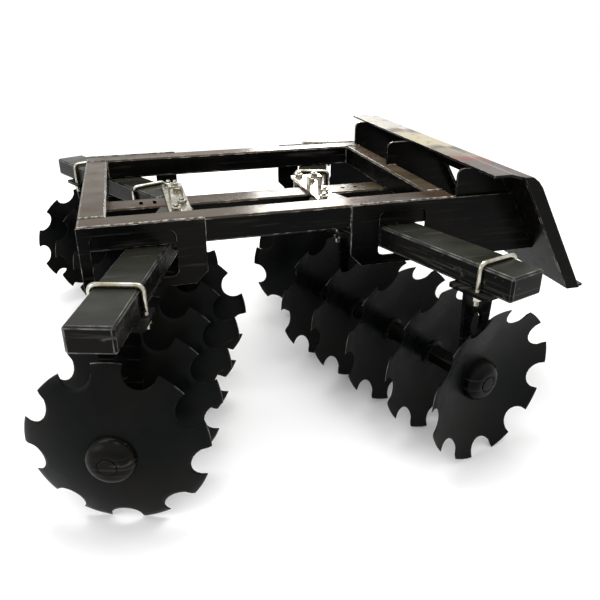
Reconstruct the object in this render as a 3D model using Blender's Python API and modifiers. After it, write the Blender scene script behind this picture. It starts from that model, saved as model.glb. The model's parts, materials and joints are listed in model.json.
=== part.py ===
"""Tandem disc harrow attachment: four gangs of notched discs under a welded frame with a loader coupler.

Metres. +X points ahead to the coupler plate, +Y to the left and +Z up. The harrow is built about the middle of
its main frame and then moved so that the origin is on the ground under the middle of its overall box. "Along"
a gang is the distance outwards from the point where its bar meets the centre beam.
"""
import math

import bmesh
import bpy
from mathutils import Matrix, Vector

# ---------------------------------------------------------------- driving dimensions, metres
FIT_GAP = 0.0003          # between pieces that are welded or bolted face to face

# discs
DISC_RADIUS = 0.254
DISC_THICKNESS = 0.005
DISC_DISH = 0.054         # from the rim plane to the flat middle
DISC_FLAT_RADIUS = 0.074  # wider than the axle's end caps
DISC_HOLE_RADIUS = 0.0235
DISC_COUNT = 5            # on each gang
DISC_SPACING = 0.200
NOTCH_COUNT = 9
NOTCH_HALF_ANGLE = math.radians(10.75)

# gangs: bolted angle settings, and the rim plane of the innermost disc
FRONT_ANGLE = math.radians(18.5)
REAR_RIGHT_ANGLE = math.radians(17.5)
REAR_LEFT_ANGLE = math.radians(26.5)
FRONT_PIVOT_INSET = 0.349     # from the end of the frame, along X
REAR_PIVOT_INSET = 0.334
PIVOT_SIDE = 0.060
FRONT_INNER_RIM = 0.118
REAR_INNER_RIM = 0.105

# axles
AXLE_RADIUS = 0.0215      # where a disc sits
SPOOL_RADIUS = 0.030
SPOOL_END_RADIUS = 0.045
SPOOL_FLARE = 0.014
BEARING_FIT = 0.0006
CAP_RADIUS = 0.0675
CAP_HEIGHT = 0.026
END_NUT_RADIUS = 0.025
END_NUT_HEIGHT = 0.016

# gang bars
BAR_WIDTH = 0.127
BAR_HEIGHT = 0.076
BAR_BEYOND_RIM = 0.079    # bar end beyond the outermost rear rim plane
BAR_TO_BEAM_GAP = 0.003
DISC_TO_BAR = 0.0652      # clear height between a disc's top and the bar

# main frame
FRAME_LENGTH = 1.230
FRAME_WIDTH = 1.025       # over the side plates
RAIL_WIDTH = 0.095
RAIL_HEIGHT = 0.080
REAR_MEMBER_WIDTH = 0.086
FRONT_MEMBER_WIDTH = 0.071
TUBE_EDGE = 0.006
BEAM_WIDTH = 0.115
BEAM_HEIGHT = 0.080
BEAM_SLOTS = (0.202, 0.253)    # from the back of the frame
BEAM_HOLES = (1.002, 1.056)

# side plates that carry the bars
SIDE_PLATE_THICKNESS = 0.010
SIDE_PLATE_DROP = 0.210
SIDE_PLATE_CHAMFER = 0.039
WINDOW_TOP_INSET = 0.028
WINDOW_BELOW_BAR = 0.024
WINDOW_CORNER = 0.020
REAR_WINDOW_MARGINS = (0.004, 0.028)     # beyond the bar, behind and ahead
FRONT_WINDOW_MARGINS = (0.009, 0.019)
REAR_PLATE_BEYOND = 0.091                # plate ahead of its window
FRONT_PLATE_BEYOND = 0.0965              # plate behind its window

# coupler plate, hook and ears; heights are from the top of the frame
COUPLER_WIDTH = 1.300
COUPLER_TILT = math.radians(30)
COUPLER_AHEAD = 0.198     # plate's harrow side ahead of the frame, level with the frame's top
COUPLER_PLATE = 0.010
COUPLER_DROP = 0.322
EAR_THICKNESS = 0.010
HOOK_RISE = 0.099
HOOK_SHEET = 0.008
HOOK_BACK = 0.045         # start of the hook sheet ahead of the frame
HOOK_FLAT = 0.061
HOOK_SLOPE = (0.041, 0.011)
HOOK_CREST = 0.031
HOOK_SHOULDER = (0.022, 0.015)
HOOK_BEND = (0.018, 0.021)
HOOK_LIP = 0.035
PIN_FLANGE_DEPTH = 0.068
PIN_SLOT = (0.070, 0.026)
PIN_SLOT_SIDE = 0.470
OPENING_SIDES = (0.045, 0.395)
OPENING_HEIGHTS = (0.003, 0.225)         # below the top of the frame
GUSSET_THICKNESS = 0.010
GUSSET_INSET = 0.0225                     # middle of a side gusset from the side plate's face
GUSSET_LAP = (0.0, 0.044, 0.0)           # over the front member: right, centre, left
GUSSET_DROP = (0.060, 0.160, 0.060)      # below the top of the frame
GUSSET_CORNER = 0.022

# strap plates over the centre beam
STRAP_LENGTH = 0.420
STRAP_WIDTH = 0.080
STRAP_THICKNESS = 0.012

# bearing hangers with their square U-bolts
HANGER_OFFSET = 0.040     # from a disc's flat middle, on its bulging side
HANGER_PLATE = 0.012
HANGER_FLANGE = 0.176     # across the bar
HANGER_MARGIN = 0.045
HANGER_TOP_WIDTH = 0.130
HANGER_BOTTOM_WIDTH = 0.092
BEARING_OUTER_RADIUS = 0.052
BEARING_WIDTH = 0.036
UBOLT_RADIUS = 0.008
UBOLT_BELOW = 0.030
FRONT_OUTER_UBOLT_SHIFT = 0.052
REAR_OUTER_UBOLT_SHIFT = -0.035

STEPS_ROUND = 12
STEPS_BEARING = 16

# ---------------------------------------------------------------- derived places
AXLE_Z = DISC_RADIUS * math.cos(NOTCH_HALF_ANGLE)   # a notch at the bottom, standing on two teeth
BAR_BOTTOM = AXLE_Z + DISC_RADIUS + DISC_TO_BAR
BAR_TOP = BAR_BOTTOM + BAR_HEIGHT
RAIL_BOTTOM = BAR_TOP + FIT_GAP
FRAME_TOP = RAIL_BOTTOM + RAIL_HEIGHT
HALF_LENGTH = FRAME_LENGTH / 2
HALF_WIDTH = FRAME_WIDTH / 2
RAIL_OUTER = HALF_WIDTH - SIDE_PLATE_THICKNESS - FIT_GAP
RAIL_INNER = RAIL_OUTER - RAIL_WIDTH
BAR_REACH = REAR_INNER_RIM + (DISC_COUNT - 1) * DISC_SPACING + BAR_BEYOND_RIM
HOOK_TOP = FRAME_TOP + HOOK_RISE
COUPLER_BOTTOM = FRAME_TOP - COUPLER_DROP
COUPLER_SIDE = COUPLER_WIDTH / 2 - EAR_THICKNESS - FIT_GAP

PAINT = (0.012, 0.012, 0.013, 1.0)
STEEL = (0.030, 0.028, 0.027, 1.0)
ZINC = (0.55, 0.54, 0.46, 1.0)


# ---------------------------------------------------------------- scene helpers
def clear_scene():
    for obj in list(bpy.data.objects):
        bpy.data.objects.remove(obj, do_unlink=True)


def new_collection(name):
    collection = bpy.data.collections.new(name)
    bpy.context.scene.collection.children.link(collection)
    return collection


def add_object(name, mesh, collection, place=None):
    obj = bpy.data.objects.new(name, mesh)
    collection.objects.link(obj)
    if place is not None:
        obj.matrix_world = place
    return obj


def mesh_from(bm, name):
    """Turns a bmesh into a mesh whose faces point out."""
    bmesh.ops.recalc_face_normals(bm, faces=bm.faces)
    mesh = bpy.data.meshes.new(name)
    bm.to_mesh(mesh)
    bm.free()
    return mesh


def paint(obj, colour, roughness, metallic):
    material = bpy.data.materials.new(obj.name + "_material")
    material.use_nodes = True
    shader = material.node_tree.nodes["Principled BSDF"]
    shader.inputs["Base Color"].default_value = colour
    shader.inputs["Roughness"].default_value = roughness
    shader.inputs["Metallic"].default_value = metallic
    obj.data.materials.clear()
    obj.data.materials.append(material)


def bevel(obj, width):
    modifier = obj.modifiers.new("edges", "BEVEL")
    modifier.width = width
    modifier.segments = 1
    modifier.limit_method = "ANGLE"


def combine(obj, tool, operation):
    """Joins a hidden tool to an object, or cuts it away."""
    tool.hide_render = True
    tool.display_type = "WIRE"
    modifier = obj.modifiers.new(operation.lower(), "BOOLEAN")
    modifier.operation = operation
    modifier.solver = "EXACT"
    modifier.object = tool


# ---------------------------------------------------------------- shape helpers
def box_mesh(name, low, high):
    """A box from its lowest to its highest corner."""
    bm = bmesh.new()
    bmesh.ops.create_cube(bm, size=1.0)
    size = Vector(high) - Vector(low)
    middle = (Vector(high) + Vector(low)) / 2
    place = Matrix.Translation(middle) @ Matrix.Diagonal((*size, 1.0))
    bmesh.ops.transform(bm, matrix=place, verts=bm.verts)
    return mesh_from(bm, name)


def prism_mesh(name, corners, shift):
    """A flat outline of 3-D corners swept by a shift."""
    bm = bmesh.new()
    face = bm.faces.new([bm.verts.new(corner) for corner in corners])
    swept = bmesh.ops.extrude_face_region(bm, geom=[face])
    moved = [item for item in swept["geom"] if isinstance(item, bmesh.types.BMVert)]
    bmesh.ops.translate(bm, vec=shift, verts=moved)
    return mesh_from(bm, name)


def slab_mesh(name, outline, start, end):
    """An outline in the XZ plane, swept from y = start to y = end."""
    corners = [(x, start, z) for x, z in outline]
    return prism_mesh(name, corners, (0, end - start, 0))


def rounded_rectangle(low, high, radius, segments=3):
    points = []
    corners = ((high[0] - radius, high[1] - radius, 0), (low[0] + radius, high[1] - radius, 90),
               (low[0] + radius, low[1] + radius, 180), (high[0] - radius, low[1] + radius, 270))
    for x, z, start in corners:
        for step in range(segments + 1):
            angle = math.radians(start + 90 * step / segments)
            points.append((x + radius * math.cos(angle), z + radius * math.sin(angle)))
    return points


def cylinder_mesh(name, radius, low, high, sides):
    """A round bar about the Z axis."""
    bm = bmesh.new()
    bmesh.ops.create_cone(bm, cap_ends=True, segments=sides, radius1=radius, radius2=radius,
                          depth=high - low, matrix=Matrix.Translation((0, 0, (low + high) / 2)))
    return mesh_from(bm, name)


def turned(name, profile, steps, collection):
    """A turned piece about its own Z axis; the profile runs from the top down on the +X side."""
    mesh = bpy.data.meshes.new(name)
    points = [(radius, 0.0, height) for radius, height in profile]
    mesh.from_pydata(points, [(i, i + 1) for i in range(len(points) - 1)], [])
    obj = add_object(name, mesh, collection)
    screw = obj.modifiers.new("turn", "SCREW")
    screw.axis = "Z"
    screw.angle = 2 * math.pi
    screw.steps = steps
    screw.render_steps = steps
    screw.use_merge_vertices = True
    screw.merge_threshold = 0.00001
    screw.use_smooth_shade = True
    return obj


# ---------------------------------------------------------------- gangs
class Gang:
    """A gang's place: end is +1 at the front and -1 at the back, side is +1 on the left and -1 on the right."""

    def __init__(self, end, side):
        self.end = end
        self.side = side
        self.name = ("front" if end > 0 else "rear") + "_" + ("left" if side > 0 else "right")
        if end > 0:
            self.angle = FRONT_ANGLE
            self.pivot_x = HALF_LENGTH - FRONT_PIVOT_INSET
            self.inner_rim = FRONT_INNER_RIM
        else:
            self.angle = REAR_LEFT_ANGLE if side > 0 else REAR_RIGHT_ANGLE
            self.pivot_x = REAR_PIVOT_INSET - HALF_LENGTH
            self.inner_rim = REAR_INNER_RIM
        self.outward = Vector((end * math.sin(self.angle), side * math.cos(self.angle), 0))

    def matrix(self, along, z):
        """Local Z points out along the gang and local Y points up."""
        up = Vector((0, 0, 1))
        across = up.cross(self.outward)
        turn = Matrix((across, up, self.outward)).transposed().to_4x4()
        start = Vector((self.pivot_x, self.side * PIVOT_SIDE, z))
        return Matrix.Translation(start + self.outward * along) @ turn

    def rims(self):
        """Rim planes from the innermost disc outwards."""
        return [self.inner_rim + index * DISC_SPACING for index in range(DISC_COUNT)]

    def hubs(self):
        """Flat middles; front discs are hollow outwards and rear discs are hollow inwards."""
        return [along - self.end * DISC_DISH for along in self.rims()]

    def bar_start(self):
        clear = BEAM_WIDTH / 2 + BAR_TO_BEAM_GAP - PIVOT_SIDE
        return (clear + BAR_WIDTH / 2 * math.sin(self.angle)) / math.cos(self.angle)

    def crossing(self):
        """X where the bar passes the side plate, and the half length it takes up there."""
        middle = HALF_WIDTH - SIDE_PLATE_THICKNESS / 2
        x = self.pivot_x + self.end * (middle - PIVOT_SIDE) * math.tan(self.angle)
        half = BAR_WIDTH / 2 / math.cos(self.angle) + SIDE_PLATE_THICKNESS / 2 * math.tan(self.angle)
        return x, half

    def hangers(self):
        """Bearing and U-bolt places of the outer and the inner hanger."""
        hubs = self.hubs()
        outer = hubs[-1] if self.end > 0 else hubs[-2]
        inner = hubs[1] if self.end > 0 else hubs[0]
        bearings = [hub - self.end * HANGER_OFFSET for hub in (outer, inner)]
        shift = FRONT_OUTER_UBOLT_SHIFT if self.end > 0 else REAR_OUTER_UBOLT_SHIFT
        return (("outer", bearings[0], bearings[0] + shift), ("inner", bearings[1], bearings[1]))


def gangs():
    return [Gang(end, side) for end in (1, -1) for side in (-1, 1)]


def rim_outline():
    """The notched edge as seen along the axis, a notch at the bottom: angle, then radius."""
    pitch = 2 * math.pi / NOTCH_COUNT
    notch_radius = DISC_RADIUS * math.sin(NOTCH_HALF_ANGLE)
    centre = DISC_RADIUS * math.cos(NOTCH_HALF_ANGLE)
    points = []
    for index in range(NOTCH_COUNT):
        middle = -math.pi / 2 + index * pitch
        for turn in (-50, 0, 50):
            x = centre - notch_radius * math.cos(math.radians(turn))
            y = notch_radius * math.sin(math.radians(turn))
            points.append((middle + math.atan2(y, x), math.hypot(x, y)))
        for offset in (NOTCH_HALF_ANGLE, pitch / 2, pitch - NOTCH_HALF_ANGLE):
            points.append((middle + offset, DISC_RADIUS))
    return points


def dish_height(radius):
    """Height of the sheet over the rim plane: a sphere with a flat middle."""
    inner = DISC_FLAT_RADIUS ** 2
    rise = (DISC_RADIUS ** 2 - inner - DISC_DISH ** 2) / (2 * DISC_DISH)
    sphere = math.hypot(DISC_RADIUS, rise)
    reach = max(radius, DISC_FLAT_RADIUS)
    return math.sqrt(sphere ** 2 - reach ** 2) - rise


def disc_mesh():
    """A dished and notched sheet about local Z, with its flat middle on the +Z side."""
    bm = bmesh.new()
    rings = [rim_outline()]
    for radius, count in ((0.68 * DISC_RADIUS, 2 * NOTCH_COUNT), (DISC_FLAT_RADIUS, NOTCH_COUNT),
                          (DISC_HOLE_RADIUS, NOTCH_COUNT)):
        rings.append([(-math.pi / 2 + 2 * math.pi * step / count, radius) for step in range(count)])
    loops = []
    for ring in rings:
        verts = [bm.verts.new((radius * math.cos(angle), radius * math.sin(angle), dish_height(radius)))
                 for angle, radius in ring]
        loops.append([bm.edges.new((verts[i - 1], verts[i])) for i in range(len(verts))])
    for outer, inner in zip(loops, loops[1:]):
        bmesh.ops.bridge_loops(bm, edges=outer + inner)
    bmesh.ops.triangulate(bm, faces=bm.faces)
    mesh = mesh_from(bm, "disc")
    mesh.shade_smooth()
    mesh.set_sharp_from_angle(angle=math.radians(35))
    return mesh


def make_discs(collection):
    mesh = disc_mesh()
    for gang in gangs():
        for number, along in enumerate(gang.rims(), start=1):
            place = gang.matrix(along, AXLE_Z)
            if gang.end > 0:
                place = place @ Matrix.Rotation(math.pi, 4, "Y")
            obj = add_object(f"disc_{gang.name}_{number}", mesh.copy(), collection, place)
            sheet = obj.modifiers.new("sheet", "SOLIDIFY")
            sheet.thickness = DISC_THICKNESS
            sheet.offset = 0
            paint(obj, STEEL, 0.45, 0.3)


def axle_profile(gang):
    """Radius and height from the outer end to the inner end, stepped down where each disc sits."""
    half = DISC_THICKNESS / 2 + FIT_GAP
    hubs = gang.hubs()[::-1]
    top = hubs[0] + half + CAP_HEIGHT
    bottom = hubs[-1] - half - CAP_HEIGHT
    profile = [(0.0, top + END_NUT_HEIGHT), (END_NUT_RADIUS, top + END_NUT_HEIGHT), (END_NUT_RADIUS, top),
               (CAP_RADIUS * 0.72, top - CAP_HEIGHT * 0.25), (CAP_RADIUS, hubs[0] + half)]
    for index, hub in enumerate(hubs):
        profile += [(AXLE_RADIUS, hub + half), (AXLE_RADIUS, hub - half)]
        if index + 1 < len(hubs):
            below = hubs[index + 1] + half
            profile += [(SPOOL_END_RADIUS, hub - half), (SPOOL_RADIUS, hub - half - SPOOL_FLARE),
                        (SPOOL_RADIUS, below + SPOOL_FLARE), (SPOOL_END_RADIUS, below)]
    profile += [(CAP_RADIUS, hubs[-1] - half), (CAP_RADIUS * 0.72, bottom + CAP_HEIGHT * 0.25),
                (END_NUT_RADIUS, bottom), (END_NUT_RADIUS, bottom - END_NUT_HEIGHT),
                (0.0, bottom - END_NUT_HEIGHT)]
    return profile


def make_axles(collection):
    for gang in gangs():
        obj = turned(f"gang_axle_{gang.name}", axle_profile(gang), STEPS_ROUND, collection)
        obj.matrix_world = gang.matrix(0.0, AXLE_Z)
        paint(obj, PAINT, 0.4, 0.2)


def make_bars(collection):
    for gang in gangs():
        half = BAR_WIDTH / 2
        mesh = box_mesh("bar", (-half, -BAR_HEIGHT, gang.bar_start()), (half, 0, BAR_REACH))
        obj = add_object(f"gang_bar_{gang.name}", mesh, collection, gang.matrix(0.0, BAR_TOP))
        bevel(obj, TUBE_EDGE)
        paint(obj, PAINT, 0.3, 0.1)


def ubolt_mesh(name, top, bottom, along):
    """A square U of round rod over the bar, its legs down through the flange."""
    half = BAR_WIDTH / 2 + UBOLT_RADIUS + FIT_GAP
    crown = top + UBOLT_RADIUS + FIT_GAP
    path = [(-half, bottom), (-half, crown), (half, crown), (half, bottom)]
    mitres = [(1, 0), (1, -1), (-1, -1), (-1, 0)]
    bm = bmesh.new()
    rings = []
    for (x, y), (side, fall) in zip(path, mitres):
        ring = []
        for step in range(8):
            angle = 2 * math.pi * (step + 0.5) / 8
            inward = UBOLT_RADIUS * math.cos(angle)
            ring.append(bm.verts.new((x + side * inward, y + fall * inward,
                                      along + UBOLT_RADIUS * math.sin(angle))))
        rings.append(ring)
    for first, second in zip(rings, rings[1:]):
        for step in range(8):
            bm.faces.new((first[step - 1], first[step], second[step], second[step - 1]))
    bm.faces.new(rings[0])
    bm.faces.new(rings[-1])
    return mesh_from(bm, name)


def make_hangers(collection, tools):
    """A flange clamped under the bar, a tapered plate down to the bearing and a ring round the spool."""
    top = BAR_BOTTOM - FIT_GAP - AXLE_Z
    bore_radius = (SPOOL_RADIUS + BEARING_FIT) / math.cos(math.pi / STEPS_BEARING)
    for gang in gangs():
        place = gang.matrix(0.0, AXLE_Z)
        for word, bearing, ubolt in gang.hangers():
            name = f"bearing_hanger_{gang.name}_{word}"
            half = HANGER_FLANGE / 2
            low = min(bearing, ubolt) - HANGER_MARGIN
            high = min(max(bearing, ubolt) + HANGER_MARGIN, BAR_REACH)
            flange = box_mesh(name, (-half, top - HANGER_PLATE, low), (half, top, high))
            obj = add_object(name, flange, collection, place)

            wide = HANGER_TOP_WIDTH / 2
            narrow = HANGER_BOTTOM_WIDTH / 2
            back = bearing - HANGER_PLATE / 2
            overlap = top - HANGER_PLATE / 2
            corners = [(-wide, overlap, back), (wide, overlap, back), (narrow, 0, back), (-narrow, 0, back)]
            upright = prism_mesh("upright", corners, (0, 0, HANGER_PLATE))
            ring = cylinder_mesh("ring", BEARING_OUTER_RADIUS, bearing - BEARING_WIDTH / 2,
                                 bearing + BEARING_WIDTH / 2, STEPS_BEARING)
            rod = ubolt_mesh("rod", BAR_TOP - AXLE_Z, top - HANGER_PLATE - UBOLT_BELOW, ubolt)
            bore = cylinder_mesh("bore", bore_radius, bearing - BEARING_WIDTH, bearing + BEARING_WIDTH,
                                 STEPS_BEARING)
            for mesh in (upright, ring, rod):
                combine(obj, add_object(f"{name}_{mesh.name}", mesh, tools, place), "UNION")
            combine(obj, add_object(f"{name}_bore", bore, tools, place), "DIFFERENCE")
            paint(obj, PAINT, 0.4, 0.1)


# ---------------------------------------------------------------- main frame
def make_frame(collection, tools):
    back = -HALF_LENGTH
    front = HALF_LENGTH
    for side, word in ((-1, "right"), (1, "left")):
        low, high = sorted((side * RAIL_INNER, side * RAIL_OUTER))
        add_object(f"side_rail_{word}", box_mesh("rail", (back, low, RAIL_BOTTOM), (front, high, FRAME_TOP)),
                   collection)
    inside = RAIL_INNER - FIT_GAP
    rear = box_mesh("member", (back, -inside, RAIL_BOTTOM), (back + REAR_MEMBER_WIDTH, inside, FRAME_TOP))
    add_object("rear_cross_member", rear, collection)
    ahead = box_mesh("member", (front - FRONT_MEMBER_WIDTH, -inside, RAIL_BOTTOM), (front, inside, FRAME_TOP))
    add_object("front_cross_member", ahead, collection)
    half = BEAM_WIDTH / 2
    beam_box = box_mesh("beam", (back, -half, BAR_TOP - BEAM_HEIGHT), (front, half, BAR_TOP))
    beam = add_object("centre_beam", beam_box, collection)
    for name in ("side_rail_right", "side_rail_left", "rear_cross_member", "front_cross_member", "centre_beam"):
        obj = bpy.data.objects[name]
        bevel(obj, TUBE_EDGE)
        paint(obj, PAINT, 0.3, 0.1)
    below = BAR_TOP - BEAM_HEIGHT - 0.02
    for number, inset in enumerate(BEAM_SLOTS, start=1):
        slot = box_mesh("slot", (back + inset - 0.007, -0.022, below), (back + inset + 0.007, 0.022, FRAME_TOP))
        combine(beam, add_object(f"beam_slot_{number}", slot, tools), "DIFFERENCE")
    for number, inset in enumerate(BEAM_HOLES, start=1):
        hole = cylinder_mesh("hole", 0.010, below, FRAME_TOP, 8)
        place = Matrix.Translation((back + inset, 0, 0))
        combine(beam, add_object(f"beam_hole_{number}", hole, tools, place), "DIFFERENCE")


def coupler_face(z):
    """X of the coupler plate's harrow side at a height."""
    return HALF_LENGTH + COUPLER_AHEAD + (FRAME_TOP - z) * math.tan(COUPLER_TILT)


def window_span(end):
    """Start and end, along X, of the side plate windows: they clear both bars of that end."""
    spans = [gang.crossing() for gang in gangs() if gang.end == end]
    margins = FRONT_WINDOW_MARGINS if end > 0 else REAR_WINDOW_MARGINS
    return min(x - half for x, half in spans) - margins[0], max(x + half for x, half in spans) + margins[1]


def make_side_plates(collection, tools):
    bottom = FRAME_TOP - SIDE_PLATE_DROP
    corner = SIDE_PLATE_CHAMFER
    gap = FIT_GAP / math.cos(COUPLER_TILT)
    for end, word in ((1, "front"), (-1, "rear")):
        start, stop = window_span(end)
        if end > 0:
            edge = start - FRONT_PLATE_BEYOND
            outline = [(edge, FRAME_TOP), (edge, bottom + corner), (edge + corner, bottom),
                       (coupler_face(bottom) - gap, bottom), (coupler_face(FRAME_TOP) - gap, FRAME_TOP)]
        else:
            edge = stop + REAR_PLATE_BEYOND
            outline = [(-HALF_LENGTH, FRAME_TOP), (-HALF_LENGTH, bottom), (edge - corner, bottom),
                       (edge, bottom + corner), (edge, FRAME_TOP)]
        low = (start, BAR_BOTTOM - WINDOW_BELOW_BAR)
        high = (stop, FRAME_TOP - WINDOW_TOP_INSET)
        for side, side_word in ((-1, "right"), (1, "left")):
            near, far = sorted((side * (HALF_WIDTH - SIDE_PLATE_THICKNESS), side * HALF_WIDTH))
            name = f"side_plate_{word}_{side_word}"
            obj = add_object(name, slab_mesh(name, outline, near, far), collection)
            window = slab_mesh("window", rounded_rectangle(low, high, WINDOW_CORNER), near - 0.02, far + 0.02)
            combine(obj, add_object(name + "_window", window, tools), "DIFFERENCE")
            paint(obj, PAINT, 0.3, 0.1)


def make_straps(collection):
    """Plates that tie each pair of bars across the centre beam."""
    bottom = BAR_TOP + FIT_GAP
    for end, word in ((1, "front"), (-1, "rear")):
        middle = Gang(end, 1).pivot_x
        half = STRAP_WIDTH / 2
        mesh = box_mesh("strap", (middle - half, -STRAP_LENGTH / 2, bottom),
                        (middle + half, STRAP_LENGTH / 2, bottom + STRAP_THICKNESS))
        obj = add_object(f"strap_plate_{word}", mesh, collection)
        paint(obj, ZINC, 0.4, 0.8)


# ---------------------------------------------------------------- coupler
def hook_line():
    """Top surface of the hook sheet, from over the frame to the edge of its lip."""
    x = HALF_LENGTH + HOOK_BACK
    z = HOOK_TOP
    points = [(x, z)]
    for ahead, down in ((HOOK_FLAT, 0.0), HOOK_SLOPE, (HOOK_CREST, 0.0), HOOK_SHOULDER, HOOK_BEND,
                        (HOOK_LIP * math.sin(COUPLER_TILT), HOOK_LIP * math.cos(COUPLER_TILT))):
        x += ahead
        z -= down
        points.append((x, z))
    return points


def make_hook(collection):
    bm = bmesh.new()
    verts = [bm.verts.new((x, -COUPLER_SIDE, z)) for x, z in hook_line()]
    edges = [bm.edges.new((verts[i], verts[i + 1])) for i in range(len(verts) - 1)]
    swept = bmesh.ops.extrude_edge_only(bm, edges=edges)
    moved = [item for item in swept["geom"] if isinstance(item, bmesh.types.BMVert)]
    bmesh.ops.translate(bm, vec=(0, 2 * COUPLER_SIDE, 0), verts=moved)
    bm.normal_update()
    for face in bm.faces:
        if face.normal.z + face.normal.x < 0:
            face.normal_flip()
    mesh = bpy.data.meshes.new("coupler_hook")
    bm.to_mesh(mesh)
    bm.free()
    hook = add_object("coupler_hook", mesh, collection)
    sheet = hook.modifiers.new("sheet", "SOLIDIFY")
    sheet.thickness = HOOK_SHEET
    sheet.offset = -1
    sheet.use_even_offset = True
    paint(hook, PAINT, 0.25, 0.1)


def make_coupler_plate(collection, tools):
    """The inclined plate with two openings, folded at the bottom into the flange for the lock pins."""
    depth = COUPLER_PLATE / math.cos(COUPLER_TILT)
    top = HOOK_TOP - HOOK_SLOPE[1] - HOOK_SHEET - 2 * FIT_GAP
    bottom = COUPLER_BOTTOM
    floor = bottom + COUPLER_PLATE
    lip = coupler_face(bottom) + PIN_FLANGE_DEPTH
    outline = [(coupler_face(top), top), (coupler_face(bottom), bottom), (lip, bottom), (lip, floor),
               (coupler_face(floor) + depth, floor), (coupler_face(top) + depth, top)]
    plate = add_object("coupler_plate", slab_mesh("coupler_plate", outline, -COUPLER_SIDE, COUPLER_SIDE),
                       collection)
    high = FRAME_TOP - OPENING_HEIGHTS[0]
    low = FRAME_TOP - OPENING_HEIGHTS[1]
    wide = 0.05
    hole = [(coupler_face(high) - wide, high), (coupler_face(low) - wide, low),
            (coupler_face(low) + wide, low), (coupler_face(high) + wide, high)]
    slot_x = (coupler_face(floor) + depth + lip) / 2
    for side, word in ((-1, "right"), (1, "left")):
        near, far = sorted(side * edge for edge in OPENING_SIDES)
        combine(plate, add_object(f"opening_{word}", slab_mesh("opening", hole, near, far), tools), "DIFFERENCE")
        slot = box_mesh("slot", (slot_x - PIN_SLOT[1] / 2, side * PIN_SLOT_SIDE - PIN_SLOT[0] / 2, bottom - 0.02),
                        (slot_x + PIN_SLOT[1] / 2, side * PIN_SLOT_SIDE + PIN_SLOT[0] / 2, floor + 0.02))
        combine(plate, add_object(f"pin_slot_{word}", slot, tools), "DIFFERENCE")
    paint(plate, PAINT, 0.3, 0.1)


def make_ears(collection):
    line = hook_line()
    bottom = COUPLER_BOTTOM
    level = line[2][1]
    foot = line[5][0] + (line[5][1] - bottom) * math.tan(COUPLER_TILT)
    ear = [(coupler_face(level), level), line[3], line[4], line[5], (foot, bottom),
           (coupler_face(bottom), bottom)]
    half = COUPLER_WIDTH / 2
    for side, word in ((-1, "right"), (1, "left")):
        near, far = sorted((side * (half - EAR_THICKNESS), side * half))
        obj = add_object(f"coupler_ear_{word}", slab_mesh("ear", ear, near, far), collection)
        paint(obj, PAINT, 0.35, 0.1)


def make_gussets(collection):
    """Upright plates on the frame's front that carry the coupler."""
    high = HOOK_TOP - HOOK_SHEET - FIT_GAP
    flat_end = hook_line()[1][0]
    slope = HOOK_SLOPE[1] / HOOK_SLOPE[0]
    gap = FIT_GAP / math.cos(COUPLER_TILT)
    under = high - HOOK_SLOPE[1] - 0.002
    front = HALF_LENGTH + FIT_GAP
    shelf = FRAME_TOP + FIT_GAP
    for word, side, lap, drop in zip(("right", "centre", "left"), (-1, 0, 1), GUSSET_LAP, GUSSET_DROP):
        low = FRAME_TOP - drop
        rear = front if lap == 0 else HALF_LENGTH - lap
        outline = [(coupler_face(under) - gap, under), (flat_end - slope * 0.01, high)]
        for step in range(4):
            angle = math.radians(90 + 90 * step / 3)
            outline.append((rear + GUSSET_CORNER * (1 + math.cos(angle)),
                            high - GUSSET_CORNER * (1 - math.sin(angle))))
        if lap > 0:
            outline += [(rear, shelf), (front, shelf)]
        outline += [(front, low), (coupler_face(low) - gap, low)]
        middle = side * (HALF_WIDTH - GUSSET_INSET)
        mesh = slab_mesh("gusset", outline, middle - GUSSET_THICKNESS / 2, middle + GUSSET_THICKNESS / 2)
        obj = add_object(f"gusset_{word}", mesh, collection)
        paint(obj, PAINT, 0.3, 0.1)


def stand_on_origin(harrow, tools):
    """Moves everything so that the overall box is centred over the origin with its underside on the ground."""
    bpy.context.view_layer.update()
    depsgraph = bpy.context.evaluated_depsgraph_get()
    points = []
    for obj in harrow.objects:
        shape = obj.evaluated_get(depsgraph)
        points += [obj.matrix_world @ vertex.co for vertex in shape.data.vertices]
    low = Vector([min(point[axis] for point in points) for axis in range(3)])
    high = Vector([max(point[axis] for point in points) for axis in range(3)])
    shift = Matrix.Translation((-(low.x + high.x) / 2, -(low.y + high.y) / 2, -low.z))
    for obj in list(harrow.objects) + list(tools.objects):
        obj.matrix_world = shift @ obj.matrix_world


def main():
    clear_scene()
    harrow = new_collection("disc_harrow")
    tools = new_collection("cutters")
    make_frame(harrow, tools)
    make_side_plates(harrow, tools)
    make_straps(harrow)
    make_hook(harrow)
    make_coupler_plate(harrow, tools)
    make_ears(harrow)
    make_gussets(harrow)
    make_bars(harrow)
    make_hangers(harrow, tools)
    make_axles(harrow)
    make_discs(harrow)
    stand_on_origin(harrow, tools)


main()
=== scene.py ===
"""Looks of the tandem disc harrow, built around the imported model.

Metres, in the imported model's frame: +X ahead to the coupler plate, +Y left, +Z up.
"""

import json
import math

import bmesh
import bpy
import numpy as np
from mathutils import Matrix, Vector


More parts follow.
